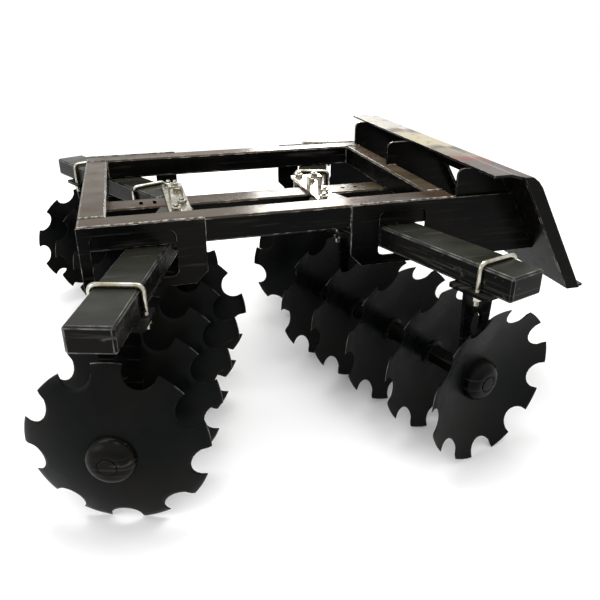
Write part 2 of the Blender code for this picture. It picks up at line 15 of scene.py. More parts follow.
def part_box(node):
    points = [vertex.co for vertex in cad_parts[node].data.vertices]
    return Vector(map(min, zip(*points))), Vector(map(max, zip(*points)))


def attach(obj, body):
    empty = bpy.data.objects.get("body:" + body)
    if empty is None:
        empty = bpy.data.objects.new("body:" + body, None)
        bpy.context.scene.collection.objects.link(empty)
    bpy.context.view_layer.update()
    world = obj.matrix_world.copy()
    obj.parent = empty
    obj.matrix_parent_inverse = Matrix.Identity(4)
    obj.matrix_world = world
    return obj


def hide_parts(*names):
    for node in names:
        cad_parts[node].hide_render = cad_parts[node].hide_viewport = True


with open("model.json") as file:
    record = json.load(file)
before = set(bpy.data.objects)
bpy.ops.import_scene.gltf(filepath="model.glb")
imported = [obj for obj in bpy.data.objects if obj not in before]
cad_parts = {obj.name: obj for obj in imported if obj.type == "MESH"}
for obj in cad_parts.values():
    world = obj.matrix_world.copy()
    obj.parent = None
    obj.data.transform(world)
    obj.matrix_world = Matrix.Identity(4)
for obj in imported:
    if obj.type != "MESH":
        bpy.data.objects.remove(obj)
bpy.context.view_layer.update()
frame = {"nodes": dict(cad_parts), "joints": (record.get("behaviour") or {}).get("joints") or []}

# ---------------------------------------------------------------- sizes, metres
DISC_RADIUS = 0.254
DISC_THICKNESS = 0.005
DISC_DISH = 0.054
DISC_FLAT = 0.074
DISC_HOLE = 0.0235
DISC_PLAIN = 0.185         # whole part of a disc, inside its notches
NOTCH_COUNT = 9
NOTCH_HALF_ANGLE = math.radians(10.75)
NOTCH_POINTS = 12
TOOTH_POINTS = 6
BEVEL_INSET = 0.010        # ground edge of a disc
BLUNT_INSET = 0.0008       # its hollow face ends this much short of the rim
SPOOL_RADIUS = 0.030
SPOOL_END_RADIUS = 0.045
SPOOL_COLLAR = 0.003       # straight end of a spool, before its flare
SPOOL_FLARE = 0.014
CAP_RADIUS = 0.0675
CAP_WALL = 0.005           # upright edge of an end cap, under its dome
CAP_HEIGHT = 0.038
BOLT_END_RADIUS = 0.025
# groove round the gang bolt's end, then the end: share of its radius, and rise over the cap
CAP_MIDDLE = ((1.14, 0.0), (1.08, -0.0005), (1.04, -0.004),
              (1.0, -0.004), (0.97, 0.0005), (0.90, 0.0020))
FIT_GAP = 0.0003
SEAT_GAP = 0.002           # from the axle to the edge of a disc's hole
BAR_HALF = 0.0635
HANGER_PLATE = 0.012
HANGER_FLANGE_HALF = 0.088
HANGER_CORNER = 0.010
WEB_TOP_HALF = 0.065
WEB_BOTTOM_HALF = 0.046
WEB_END = 0.022            # above the axle, inside the bearing ring
WEB_HOLE = (0.024, 0.040)  # half width and half height
BEARING_OUTER = 0.052
BEARING_BORE = 0.0306
BEARING_HALF = 0.018
BEARING_CHAMFER = 0.004
UBOLT_RADIUS = 0.0078
UBOLT_OFFSET = 0.0083      # from a face of the bar to the middle of the rod
UBOLT_CORNER = 0.018
UBOLT_BELOW = 0.030        # legs under the flange's lower face
UBOLT_NUT_HEIGHT = 0.013
THREAD_RINGS = 34
THREAD_STEP = 0.0016
THREAD_ROOT = 0.88         # share of the rod's radius
WASHER_RADIUS = 0.015
WASHER_HEIGHT = 0.002
NUT_RADIUS = 0.0135
NUT_HEIGHT = 0.010
NUT_CHAMFER = 0.0015
NUT_FACE = 0.88            # share of its radius that its flat ends keep
BOLT_TIP = ((0.007, 0.008), (0.007, 0.017), (0.006, 0.019))    # radius, height over the seat
STRAP_BOLTS = ((0.034, -0.014), (0.118, 0.014))    # in from the strap's end, and along X
STRAP_BOLT_SCALE = 1.25
BRACKET_WALL = 0.005
BRACKET_HALF_WIDTH = 0.026
BRACKET_HALF_LENGTH = 0.022
BRACKET_RISE = 0.046
WELD_RADIUS = 0.0035
WELD_STEP = 0.0045
WELD_CORNER = 0.006        # bead's end short of the corner of a tube
WELD_END = 0.004           # and short of the end of a plate
WELD_DIP = 0.22            # share of the bead's radius that each ripple takes
SMOOTH_ANGLE = math.radians(32)
BEVEL_ANGLE = math.radians(30)
EDGE_WIDTH = 0.0009
STRAP_EDGE_WIDTH = 0.0012
# wide enough that the bars' pale edge band, wear and painted highlight, covers their whole chamfer
BAR_EDGE_WIDTH = 0.0041
SKY_STRENGTH = 1.15
FLOOR_HALF = 400.0

# ---------------------------------------------------------------- camera
CAMERA_PLACE = (0.173, -2.331, 1.299)    # from the frame's rear face, its middle and the ground
CAMERA_AZIMUTH = math.radians(-14.03)
CAMERA_ELEVATION = math.radians(25.09)
CAMERA_ROLL = math.radians(-0.58)
CAMERA_LENS = 37.17
CAMERA_SHIFT_X = 0.0257


# ---------------------------------------------------------------- materials
class Nodes:
    """A material's node tree with short ways to add and link nodes."""

    def __init__(self, name):
        self.material = bpy.data.materials.new(name)
        self.material.use_nodes = True
        self.tree = self.material.node_tree
        self.shader = self.tree.nodes["Principled BSDF"]
        self.place = self.tree.nodes.new("ShaderNodeTexCoord").outputs["Object"]

    def noise(self, scale, detail=4.0, stretch=(1, 1, 1)):
        mapping = self.tree.nodes.new("ShaderNodeMapping")
        mapping.inputs["Scale"].default_value = stretch
        self.tree.links.new(self.place, mapping.inputs["Vector"])
        node = self.tree.nodes.new("ShaderNodeTexNoise")
        node.inputs["Scale"].default_value = scale
        node.inputs["Detail"].default_value = detail
        self.tree.links.new(mapping.outputs["Vector"], node.inputs["Vector"])
        return node.outputs["Fac"]

    def fit(self, value, low, high, to_low=0.0, to_high=1.0):
        """Maps a value's range onto another and clamps it."""
        node = self.tree.nodes.new("ShaderNodeMapRange")
        node.inputs["From Min"].default_value = low
        node.inputs["From Max"].default_value = high
        node.inputs["To Min"].default_value = to_low
        node.inputs["To Max"].default_value = to_high
        self.tree.links.new(value, node.inputs["Value"])
        return node.outputs["Result"]

    def multiply(self, first, second):
        node = self.tree.nodes.new("ShaderNodeMath")
        node.operation = "MULTIPLY"
        self.tree.links.new(first, node.inputs[0])
        self.tree.links.new(second, node.inputs[1])
        return node.outputs["Value"]

    def mix(self, factor, first, second):
        """Colours are tuples or sockets."""
        node = self.tree.nodes.new("ShaderNodeMix")
        node.data_type = "RGBA"
        self.tree.links.new(factor, node.inputs["Factor"])
        for socket, colour in ((node.inputs[6], first), (node.inputs[7], second)):
            if isinstance(colour, tuple):
                socket.default_value = (*colour, 1.0)
            else:
                self.tree.links.new(colour, socket)
        return node.outputs[2]

    def facing_up(self):
        """Zero on walls, one on level tops."""
        geometry = self.tree.nodes.new("ShaderNodeNewGeometry")
        split = self.tree.nodes.new("ShaderNodeSeparateXYZ")
        self.tree.links.new(geometry.outputs["Normal"], split.inputs["Vector"])
        return self.fit(split.outputs["Z"], 0.3, 0.95)

    def across(self):
        """Share of the coupler hook's width from its right end to its left, edges wavering."""
        split = self.tree.nodes.new("ShaderNodeSeparateXYZ")
        self.tree.links.new(self.place, split.inputs["Vector"])
        low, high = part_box("coupler_hook")
        waver = self.tree.nodes.new("ShaderNodeMath")
        waver.operation = "ADD"
        self.tree.links.new(split.outputs["Y"], waver.inputs[0])
        self.tree.links.new(self.fit(self.noise(9.0, 4.0), 0.3, 0.7, -0.03, 0.03), waver.inputs[1])
        return self.fit(waver.outputs["Value"], low[1], high[1])

    def radius(self):
        """Distance from the object's own Z axis."""
        flat = self.tree.nodes.new("ShaderNodeVectorMath")
        flat.operation = "MULTIPLY"
        flat.inputs[1].default_value = (1, 1, 0)
        self.tree.links.new(self.place, flat.inputs[0])
        length = self.tree.nodes.new("ShaderNodeVectorMath")
        length.operation = "LENGTH"
        self.tree.links.new(flat.outputs["Vector"], length.inputs[0])
        return length.outputs["Value"]

    def bump(self, height, strength, distance):
        node = self.tree.nodes.new("ShaderNodeBump")
        node.inputs["Strength"].default_value = strength
        node.inputs["Distance"].default_value = distance
        self.tree.links.new(height, node.inputs["Height"])
        self.tree.links.new(node.outputs["Normal"], self.shader.inputs["Normal"])

    def colour(self, socket):
        self.tree.links.new(socket, self.shader.inputs["Base Color"])

    def roughness(self, socket):
        self.tree.links.new(socket, self.shader.inputs["Roughness"])

    def metallic(self, socket):
        self.tree.links.new(socket, self.shader.inputs["Metallic"])


def black_paint(name, top, scratches, rusty, bare=(0.0010, 0.0012, 0.0012)):
    """Gloss black enamel: brown-grey on level tops, partly dust and partly painted reflection, fine
    scratches and orange peel.
    """
    nodes = Nodes(name)
    cloud = nodes.fit(nodes.noise(3.5), 0.38, 0.66)
    base = nodes.mix(cloud, bare, (0.0044, 0.0038, 0.0032))
    # level tops turn brown-grey: partly dust, partly painted reflection
    dust_and_reflection = nodes.fit(nodes.noise(4.0, 6.0, (0.5, 2.0, 2.0)), 0.30, 0.66, 0.35)
    base = nodes.mix(nodes.multiply(nodes.facing_up(), dust_and_reflection), base, top)
    rust = nodes.fit(nodes.noise(2.3, 5.0, (0.7, 2.5, 1.0)), 0.50, 0.66, 0.0, rusty)
    rust_colour = (top[0] * 1.05, top[1] * 0.66, top[2] * 0.55)
    base = nodes.mix(nodes.multiply(nodes.facing_up(), rust), base, rust_colour)
    streaks = nodes.fit(nodes.noise(7.0, 9.0, (0.5, 0.5, 14.0)), 0.58, 0.70, 0.0, scratches)
    base = nodes.mix(streaks, base, (0.030, 0.029, 0.024))
    scuffs = nodes.fit(nodes.noise(9.0, 8.0, (0.4, 5.0, 5.0)), 0.64, 0.72, 0.0, scratches)
    nodes.colour(nodes.mix(scuffs, base, (0.060, 0.052, 0.045)))
    nodes.roughness(nodes.fit(nodes.noise(14.0, 5.0), 0.3, 0.7, 0.16, 0.34))
    nodes.bump(nodes.noise(260.0, 2.0), 0.10, 0.0006)
    nodes.shader.inputs["Specular IOR Level"].default_value = 0.05
    return nodes.material


def hook_painted_reflections():
    """Black enamel with painted reflections on its level top: soft pale, straw-yellow, red and brown
    patches across it.
    """
    nodes = Nodes("hook_enamel")
    across = nodes.across()
    # bands across the top are painted reflections
    base = nodes.mix(nodes.fit(across, 0.16, 0.21), (0.055, 0.038, 0.030), (0.13, 0.034, 0.026))
    base = nodes.mix(nodes.fit(across, 0.225, 0.255), base, (0.14, 0.12, 0.075))
    base = nodes.mix(nodes.fit(across, 0.32, 0.35), base, (0.060, 0.042, 0.030))
    base = nodes.mix(nodes.fit(across, 0.36, 0.40), base, (0.29, 0.255, 0.155))
    base = nodes.mix(nodes.fit(across, 0.60, 0.64), base, (0.085, 0.060, 0.044))
    base = nodes.mix(nodes.fit(across, 0.67, 0.72), base, (0.34, 0.32, 0.28))
    grain = nodes.fit(nodes.noise(30.0, 7.0), 0.54, 0.68, 0.0, 0.6)
    base = nodes.mix(grain, base, (0.045, 0.030, 0.022))
    # walls stay black; the painted reflection bands go on level tops only
    nodes.colour(nodes.mix(nodes.facing_up(), (0.0030, 0.0028, 0.0026), base))
    nodes.roughness(nodes.fit(nodes.noise(14.0, 5.0), 0.3, 0.7, 0.20, 0.36))
    nodes.bump(nodes.noise(260.0, 2.0), 0.10, 0.0006)
    nodes.shader.inputs["Specular IOR Level"].default_value = 0.12
    return nodes.material


def pale_edge(name, low, high, pale):
    """Paint rubbed thin along an edge, down to pale steel in places; on the gang bars this pale band
    is a painted highlight as well as wear.
    """
    nodes = Nodes(name)
    wear = nodes.fit(nodes.noise(26.0, 7.0), low, high)
    nodes.colour(nodes.mix(wear, (0.012, 0.012, 0.011), pale))
    nodes.metallic(nodes.fit(wear, 0.0, 1.0, 0.0, 0.8))
    nodes.roughness(nodes.fit(wear, 0.0, 1.0, 0.26, 0.40))
    nodes.shader.inputs["Specular IOR Level"].default_value = 0.3
    return nodes.material


def disc_paint():
    """Thin black coating on rolled steel: faint clouding, fine speckle and a pale rim, partly rubbed
    steel and partly a painted highlight.
    """
    nodes = Nodes("disc_coating")
    radius = nodes.radius()
    cloud = nodes.fit(nodes.noise(4.0, 6.0), 0.42, 0.70)
    base = nodes.mix(cloud, (0.0020, 0.0026, 0.0027), (0.0060, 0.0052, 0.0045))
    speckle = nodes.fit(nodes.noise(75.0, 3.0), 0.70, 0.80, 0.0, 0.4)
    base = nodes.mix(speckle, base, (0.020, 0.017, 0.014))
    # pale band at the rim: ground steel and a painted highlight along the edge
    rim = nodes.multiply(nodes.fit(radius, DISC_RADIUS - 0.003, DISC_RADIUS - 0.0006),
                         nodes.fit(nodes.noise(16.0, 5.0), 0.40, 0.60))
    nodes.colour(nodes.mix(rim, base, (0.16, 0.15, 0.13)))
    nodes.metallic(nodes.fit(rim, 0.0, 1.0, 0.0, 0.7))
    nodes.roughness(nodes.fit(nodes.noise(18.0, 6.0), 0.3, 0.7, 0.24, 0.40))
    nodes.bump(nodes.noise(120.0, 4.0), 0.10, 0.0008)
    nodes.shader.inputs["Specular IOR Level"].default_value = 0.045
    return nodes.material


def zinc():
    """Bright yellowish zinc plate with dull patches."""
    nodes = Nodes("zinc_plating")
    patch = nodes.fit(nodes.noise(28.0, 5.0), 0.35, 0.68)
    nodes.colour(nodes.mix(patch, (0.50, 0.49, 0.43), (0.24, 0.21, 0.14)))
    nodes.roughness(nodes.fit(patch, 0.0, 1.0, 0.16, 0.36))
    nodes.bump(nodes.noise(300.0, 3.0), 0.12, 0.0004)
    nodes.shader.inputs["Metallic"].default_value = 1.0
    return nodes.material


def weld_metal():
    """Painted weld bead that still glints."""
    nodes = Nodes("weld_bead")
    glint = nodes.fit(nodes.noise(60.0, 4.0), 0.42, 0.62)
    nodes.colour(nodes.mix(glint, (0.010, 0.009, 0.008), (0.30, 0.27, 0.23)))
    nodes.roughness(nodes.fit(glint, 0.0, 1.0, 0.22, 0.34))
    nodes.metallic(nodes.fit(glint, 0.0, 1.0, 0.1, 0.9))
    return nodes.material


# each enamel's second colour is the brown-grey of its level tops, partly dust and partly painted
# reflection
PAINT = black_paint("black_enamel", (0.060, 0.044, 0.027), 0.25, 0.50)
BAR_PAINT = black_paint("bar_enamel", (0.024, 0.024, 0.019), 0.8, 0.0, (0.0030, 0.0035, 0.0030))
AXLE_PAINT = black_paint("axle_enamel", (0.010, 0.010, 0.009), 0.5, 0.0)
HOOK_PAINTED_REFLECTIONS = hook_painted_reflections()
EDGE = pale_edge("pale_edge", 0.50, 0.64, (0.34, 0.32, 0.27))
# gang bar edges: pale along the rounded chamfer, wear and a painted highlight
BAR_EDGE_WEAR_AND_HIGHLIGHT = pale_edge("worn_bar_edge", 0.42, 0.72, (0.17, 0.17, 0.15))
DISC = disc_paint()
ZINC = zinc()
WELD = weld_metal()


# ---------------------------------------------------------------- places read from the frame
def points(node):
    """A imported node's corners, as rows of X, Y and Z."""
    mesh = frame["nodes"][node].data
    values = np.empty(len(mesh.vertices) * 3)
    mesh.vertices.foreach_get("co", values)
    return values.reshape(-1, 3)


class Gang:
    """A gang's own axes: local Z out along the axle and local Y up, from the joint's place."""

    def __init__(self, joint):
        self.body = joint["child"]
        self.name = self.body.removeprefix("gang_")
        self.origin = Vector(joint["pos_m"])
        self.outward = Vector(joint["axis"])
        self.end = 1 if self.name.startswith("front") else -1

    def matrix(self, along, height=0.0):
        up = Vector((0, 0, 1))
        across = up.cross(self.outward)
        turn = Matrix((across, up, self.outward)).transposed().to_4x4()
        start = self.origin + self.outward * along + up * height
        return Matrix.Translation(start) @ turn

    def along(self, places):
        return (places - np.array(self.origin)) @ np.array(self.outward)

    def span(self, node):
        values = self.along(points(node))
        return float(values.min()), float(values.max())

    def hubs(self):
        """Flat middles of the discs along the axle, from the innermost outwards."""
        found = []
        for number in range(1, 6):
            low, high = self.span(f"disc_{self.name}_{number}")
            edge = low if self.end > 0 else high
            found.append(edge + self.end * DISC_THICKNESS / 2)
        return found


GANGS = [Gang(joint) for joint in frame["joints"]]
BAR_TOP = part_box("gang_bar_rear_right")[1][2]
BAR_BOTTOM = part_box("gang_bar_rear_right")[0][2]


# ---------------------------------------------------------------- shapes
class Shape:
    """Solids gathered into one mesh, each with its place."""

    def __init__(self):
        self.bm = bmesh.new()

    def rings(self, rings, place, capped=True, closed=False):
        """Joins rings that all have as many points by quads."""
        made = [[self.bm.verts.new(place @ Vector(point)) for point in ring] for ring in rings]
        pairs = list(zip(made, made[1:]))
        if closed:
            pairs.append((made[-1], made[0]))
        faces = []
        for first, second in pairs:
            for index in range(len(first)):
                corners = (first[index - 1], first[index], second[index], second[index - 1])
                faces.append(self.bm.faces.new(corners))
        if capped:
            faces.append(self.bm.faces.new(made[0]))
            faces.append(self.bm.faces.new(made[-1][::-1]))
        for face in faces:
            face.smooth = True

    def turned(self, profile, place, steps=48, closed=False):
        """A profile of radius and height about local Z."""
        turns = [2 * math.pi * step / steps for step in range(steps)]
        circle = [(math.cos(turn), math.sin(turn)) for turn in turns]
        rings = []
        for radius, height in profile:
            rings.append([(radius * x, radius * y, height) for x, y in circle])
        self.rings(rings, place, capped=not closed, closed=closed)

    def prism(self, outline, low, high, place):
        """An outline in local XY between two heights."""
        self.rings([[(x, y, z) for x, y in outline] for z in (low, high)], place)

    def nut(self, place, radius=NUT_RADIUS, height=NUT_HEIGHT):
        """A chamfered hexagon nut on a washer, standing along local Z."""
        self.turned([(WASHER_RADIUS, 0.0), (WASHER_RADIUS, WASHER_HEIGHT)], place, steps=24)
        turns = [math.pi * side / 3 for side in range(6)]
        hexagon = [(math.cos(turn), math.sin(turn)) for turn in turns]
        profile = ((NUT_FACE, WASHER_HEIGHT), (1.0, WASHER_HEIGHT + NUT_CHAMFER), (1.0, height),
                   (NUT_FACE, height + NUT_CHAMFER))
        rings = []
        for scale, z in profile:
            rings.append([(radius * scale * x, radius * scale * y, z) for x, y in hexagon])
        self.rings(rings, place)

    def bolt(self, place):
        """A nut with the end of its bolt standing proud."""
        self.nut(place)
        self.turned(BOLT_TIP, place, steps=16)

    def finish(self, name, material, body, nodes=(), place=None):
        """Makes the object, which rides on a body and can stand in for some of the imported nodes."""
        bmesh.ops.recalc_face_normals(self.bm, faces=self.bm.faces)
        mesh = bpy.data.meshes.new(name)
        self.bm.to_mesh(mesh)
        self.bm.free()
        mesh.set_sharp_from_angle(angle=SMOOTH_ANGLE)
        obj = bpy.data.objects.new(name, mesh)
        if place is not None:
            obj.matrix_world = place
        bpy.context.scene.collection.objects.link(obj)
        mesh.materials.append(material)
        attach(obj, body)
        if nodes:
            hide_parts(*nodes)


# ---------------------------------------------------------------- discs
def rim_outline():
    """Notches and teeth round the rim: angle and radius, a notch at the bottom."""
    pitch = 2 * math.pi / NOTCH_COUNT
    notch = DISC_RADIUS * math.sin(NOTCH_HALF_ANGLE)
    centre = DISC_RADIUS * math.cos(NOTCH_HALF_ANGLE)
    outline = []
    for index in range(NOTCH_COUNT):
        middle = -math.pi / 2 + index * pitch
        for step in range(NOTCH_POINTS):
            turn = math.pi * ((step + 0.5) / NOTCH_POINTS - 0.5)
            x = centre - notch * math.cos(turn)
            y = notch * math.sin(turn)
            outline.append((middle + math.atan2(y, x), math.hypot(x, y)))
        tooth = pitch - 2 * NOTCH_HALF_ANGLE
        for step in range(TOOTH_POINTS + 1):
            outline.append((middle + NOTCH_HALF_ANGLE + tooth * step / TOOTH_POINTS, DISC_RADIUS))
    return outline


def dish_height(radius):
    """Middle of the sheet above the plane of the rim: part of a sphere round a flat middle."""
    rise = (DISC_RADIUS ** 2 - DISC_FLAT ** 2 - DISC_DISH ** 2) / (2 * DISC_DISH)
    sphere = math.hypot(DISC_RADIUS, rise)
    return math.sqrt(sphere ** 2 - max(radius, DISC_FLAT) ** 2) - rise


def disc_rings():
    """Rings over the bulging face from the hole to the rim, then back over the hollow face."""
    outline = rim_outline()
    plain = (DISC_HOLE, 0.05, DISC_FLAT, 0.10, 0.125, 0.15, 0.17, DISC_PLAIN)     # radii
    toothed = (0.25, 0.5, 0.75, 1.0)       # shares of the way from the last one to the rim

    def round_ring(side, radius):
        height = dish_height(radius) + side * DISC_THICKNESS / 2
        angles = [angle for angle, _ in outline]
        return [(radius * math.cos(angle), radius * math.sin(angle), height) for angle in angles]

    def toothed_ring(side, share, inset):
        ring = []
        for angle, edge in outline:
            reach = DISC_PLAIN + (edge - inset - DISC_PLAIN) * share
            height = dish_height(reach) + side * DISC_THICKNESS / 2
            ring.append((reach * math.cos(angle), reach * math.sin(angle), height))
        return ring

    bulging = [round_ring(1, radius) for radius in plain]
    bulging += [toothed_ring(1, share, BEVEL_INSET) for share in toothed]
    rim = [toothed_ring(-0.4, 1.0, 0.0), toothed_ring(-1, 1.0, BLUNT_INSET)]
    hollow = [toothed_ring(-1, share, BEVEL_INSET) for share in toothed[::-1]]
    hollow += [round_ring(-1, radius) for radius in plain[::-1]]
    return bulging + rim + hollow


def make_discs():
    """One notched blade over each packed disc; the front gangs' blades are hollow outwards."""
    rings = disc_rings()
    for gang in GANGS:
        for number, hub in enumerate(gang.hubs(), start=1):
            node = f"disc_{gang.name}_{number}"
            place = gang.matrix(hub + gang.end * DISC_DISH)
            if gang.end > 0:
                place = place @ Matrix.Rotation(math.pi, 4, "Y")
            shape = Shape()
            shape.rings(rings, Matrix.Identity(4), capped=False, closed=True)
            shape.finish(node + "_blade", DISC, gang.body, [node], place)


# ---------------------------------------------------------------- axles
def cap_profile(face, sign):
    """A domed end cap, outwards from a disc's face, the gang bolt's end nearly flush with it."""
    inner = BOLT_END_RADIUS * CAP_MIDDLE[0][0]
    steps = [(CAP_RADIUS, 0.0), (CAP_RADIUS, CAP_WALL)]
    for step in range(1, 9):
        turn = math.pi / 2 * step / 9
        radius = inner + (CAP_RADIUS - inner) * math.cos(turn)
        steps.append((radius, CAP_WALL + (CAP_HEIGHT - CAP_WALL) * math.sin(turn)))
    steps += [(BOLT_END_RADIUS * share, CAP_HEIGHT + rise) for share, rise in CAP_MIDDLE]
    steps.append((0.0004, CAP_HEIGHT + 0.0026))
    return [(radius, face + sign * height) for radius, height in steps]


def spool_profile(top, bottom):
    """A spool between two discs: thick ends that flare into a slimmer middle."""
    thicker = SPOOL_END_RADIUS - SPOOL_RADIUS
    flare = []
    for step in range(7):
        share = step / 6
        radius = SPOOL_RADIUS + thicker * (1 - math.sin(share * math.pi / 2))
        flare.append((radius, SPOOL_COLLAR + (SPOOL_FLARE - SPOOL_COLLAR) * share))
    upper = [(radius, top - height) for radius, height in flare]
    lower = [(radius, bottom + height) for radius, height in flare[::-1]]
    return [(SPOOL_END_RADIUS, top)] + upper + lower + [(SPOOL_END_RADIUS, bottom)]


def make_axles():
    """Each gang's cap, spools and cap in one turned profile, from its outer end inwards."""
    half = DISC_THICKNESS / 2 + FIT_GAP
    for gang in GANGS:
        hubs = gang.hubs()[::-1]
        profile = cap_profile(hubs[0] + half, 1)[::-1]
        for index, hub in enumerate(hubs):
            profile += [(DISC_HOLE - SEAT_GAP, hub + half), (DISC_HOLE - SEAT_GAP, hub - half)]
            if index + 1 < len(hubs):
                profile += spool_profile(hub - half, hubs[index + 1] + half)
        profile += cap_profile(hubs[-1] - half, -1)
        shape = Shape()
        shape.turned(profile, gang.matrix(0.0))
        node = f"gang_axle_{gang.name}"
        shape.finish(node + "_turned", AXLE_PAINT, gang.body, [node])


# ---------------------------------------------------------------- hangers
def rounded(low, high, radius, steps=6):
    """A rectangle in local XY with round corners."""
    outline = []
    centres = ((high[0] - radius, high[1] - radius), (low[0] + radius, high[1] - radius),
               (low[0] + radius, low[1] + radius), (high[0] - radius, low[1] + radius))
    for quarter, (x, y) in enumerate(centres):
        for step in range(steps + 1):
            angle = math.pi / 2 * (quarter + step / steps)
            outline.append((x + radius * math.cos(angle), y + radius * math.sin(angle)))
    return outline


def ubolt_path(bottom):
    """Threads, leg and bend up one side, then down the other: place and share of the radius."""
    side = BAR_HALF + UBOLT_OFFSET
    crown = BAR_TOP + UBOLT_OFFSET
    path = []
    for step in range(THREAD_RINGS):
        path.append((-side, bottom + THREAD_STEP * step, 1.0 if step % 2 else THREAD_ROOT))
    path.append((-side, crown - UBOLT_CORNER, 1.0))
    for step in range(1, 9):
        angle = math.pi - math.pi / 2 * step / 8
        x = -side + UBOLT_CORNER + UBOLT_CORNER * math.cos(angle)
        path.append((x, crown - UBOLT_CORNER + UBOLT_CORNER * math.sin(angle), 1.0))
    return path + [(-x, y, share) for x, y, share in path[::-1]]


def ubolt_rings(bottom, along):
    """A square U of round rod over the bar, its lower legs threaded."""
    path = ubolt_path(bottom)
    rings = []
    for index, (x, y, share) in enumerate(path):
        before = path[max(index - 1, 0)]
        after = path[min(index + 1, len(path) - 1)]
        run = Vector((after[0] - before[0], after[1] - before[1]))
        run.normalize()
        radius = UBOLT_RADIUS * share
        ring = []
        for step in range(16):
            angle = 2 * math.pi * step / 16
            side = radius * math.cos(angle)
            ring.append((x - run.y * side, y + run.x * side, along + radius * math.sin(angle)))
        rings.append(ring)
    return rings


def rays_to_outline(outline, angles, middle):
    """Where rays from a middle point at the given angles meet a four-sided outline."""
    result = []
    for angle in angles:
        ray = Vector((math.cos(angle), math.sin(angle)))
        best = None
        for index in range(4):
            first = Vector(outline[index - 1]) - Vector((0, middle))
            second = Vector(outline[index]) - Vector((0, middle))
            side = second - first
            scale = ray.x * side.y - ray.y * side.x
            if abs(scale) < 1e-9:
                continue
            reach = (first.x * side.y - first.y * side.x) / scale
            share = (first.x * ray.y - first.y * ray.x) / scale
            if reach > 0 and -1e-6 <= share <= 1 + 1e-6 and (best is None or reach < best):
                best = reach
        result.append((ray.x * best, middle + ray.y * best))
    return result


def add_web(body, place, bearing, axle, top):
    """The upright: a tapered plate with an oval hole, from under the flange to the bearing ring."""
    outline = [(-WEB_TOP_HALF, top), (WEB_TOP_HALF, top), (WEB_BOTTOM_HALF, axle + WEB_END),
               (-WEB_BOTTOM_HALF, axle + WEB_END)]
    middle = (top + FIT_GAP + axle + BEARING_OUTER) / 2
    angles = [2 * math.pi * step / 40 for step in range(40)]
    wide, high = WEB_HOLE
    hole = [(wide * math.cos(angle), middle + high * math.sin(angle)) for angle in angles]
    edge = rays_to_outline(outline, angles, middle)
    half = HANGER_PLATE / 2
    loop = [[(x, y, bearing - half) for x, y in hole], [(x, y, bearing - half) for x, y in edge],
            [(x, y, bearing + half) for x, y in edge], [(x, y, bearing + half) for x, y in hole]]
    body.rings(loop, place, capped=False, closed=True)


def bearing_profile():
    soft = BEARING_CHAMFER
    return [(BEARING_BORE, -BEARING_HALF), (BEARING_OUTER - soft, -BEARING_HALF),
            (BEARING_OUTER, -BEARING_HALF + soft), (BEARING_OUTER, BEARING_HALF - soft),
            (BEARING_OUTER - soft, BEARING_HALF), (BEARING_BORE, BEARING_HALF)]


def make_hangers():
    """Each packed hanger becomes a painted bracket and a plated U-bolt, placed as its solid is."""
    flange_top = BAR_BOTTOM - FIT_GAP
    flange_low = flange_top - HANGER_PLATE
    lying = Matrix(((1, 0, 0, 0), (0, 0, 1, 0), (0, 1, 0, 0), (0, 0, 0, 1)))
    for gang in GANGS:
        axle = gang.origin.z
        ground = gang.matrix(0.0, -axle)
        for word in ("outer", "inner"):
            node = f"bearing_hanger_{gang.name}_{word}"
            places = points(node)
            along = gang.along(places)
            above = along[places[:, 2] > BAR_TOP + 0.001]
            ubolt = float((above.min() + above.max()) / 2)
            below = along[places[:, 2] < axle - BEARING_OUTER * 0.5]
            bearing = float((below.min() + below.max()) / 2)

            body = Shape()
            start = (-HANGER_FLANGE_HALF, float(along.min()))
            stop = (HANGER_FLANGE_HALF, float(along.max()))
            flange = rounded(start, stop, HANGER_CORNER)
            body.prism(flange, flange_low, flange_top, ground @ lying)
            add_web(body, ground, bearing, axle, flange_low - FIT_GAP)
            body.turned(bearing_profile(), gang.matrix(bearing), closed=True)
            body.finish(node + "_bracket", AXLE_PAINT, "frame", [node])

            fastener = Shape()
            fastener.rings(ubolt_rings(flange_low - UBOLT_BELOW, ubolt), ground)
            for side in (-1, 1):
                centre = Matrix.Translation((side * (BAR_HALF + UBOLT_OFFSET), flange_low, ubolt))
                upside_down = ground @ centre @ Matrix.Rotation(math.pi / 2, 4, "X")
                fastener.nut(upside_down, UBOLT_RADIUS * 1.75, UBOLT_NUT_HEIGHT)
            fastener.finish(f"ubolt_{gang.name}_{word}", ZINC, "frame", [node])


# ---------------------------------------------------------------- plates and tubes that stay
def dress(node, paint, edge, edge_width, segments):
    """Keeps a solid's shape and rounds its edges, which show worn metal, and on the gang bars a
    painted highlight as well.
    """
    obj = frame["nodes"][node]
    obj.data.materials.clear()
    obj.data.materials.append(paint)
    obj.data.materials.append(edge)
    weld = obj.modifiers.new("weld", "WELD")
    weld.merge_threshold = 0.00002      # faces packed apart become one skin again
    bevel = obj.modifiers.new("edges", "BEVEL")
    bevel.width = edge_width
    bevel.segments = segments
    bevel.limit_method = "ANGLE"
    bevel.angle_limit = BEVEL_ANGLE
    bevel.material = 1


def dress_frame():
    """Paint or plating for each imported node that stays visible."""
    for node in frame["nodes"]:
        if node.startswith(("disc_", "gang_axle_", "bearing_hanger_")):
            continue
        if node.startswith("strap_plate"):
            dress(node, ZINC, ZINC, STRAP_EDGE_WIDTH, 2)
        elif node.startswith("gang_bar"):
            dress(node, BAR_PAINT, BAR_EDGE_WEAR_AND_HIGHLIGHT, BAR_EDGE_WIDTH, 3)
        elif node == "coupler_hook":
            dress(node, HOOK_PAINTED_REFLECTIONS, EDGE, EDGE_WIDTH, 2)
        else:
            dress(node, PAINT, EDGE, EDGE_WIDTH, 2)


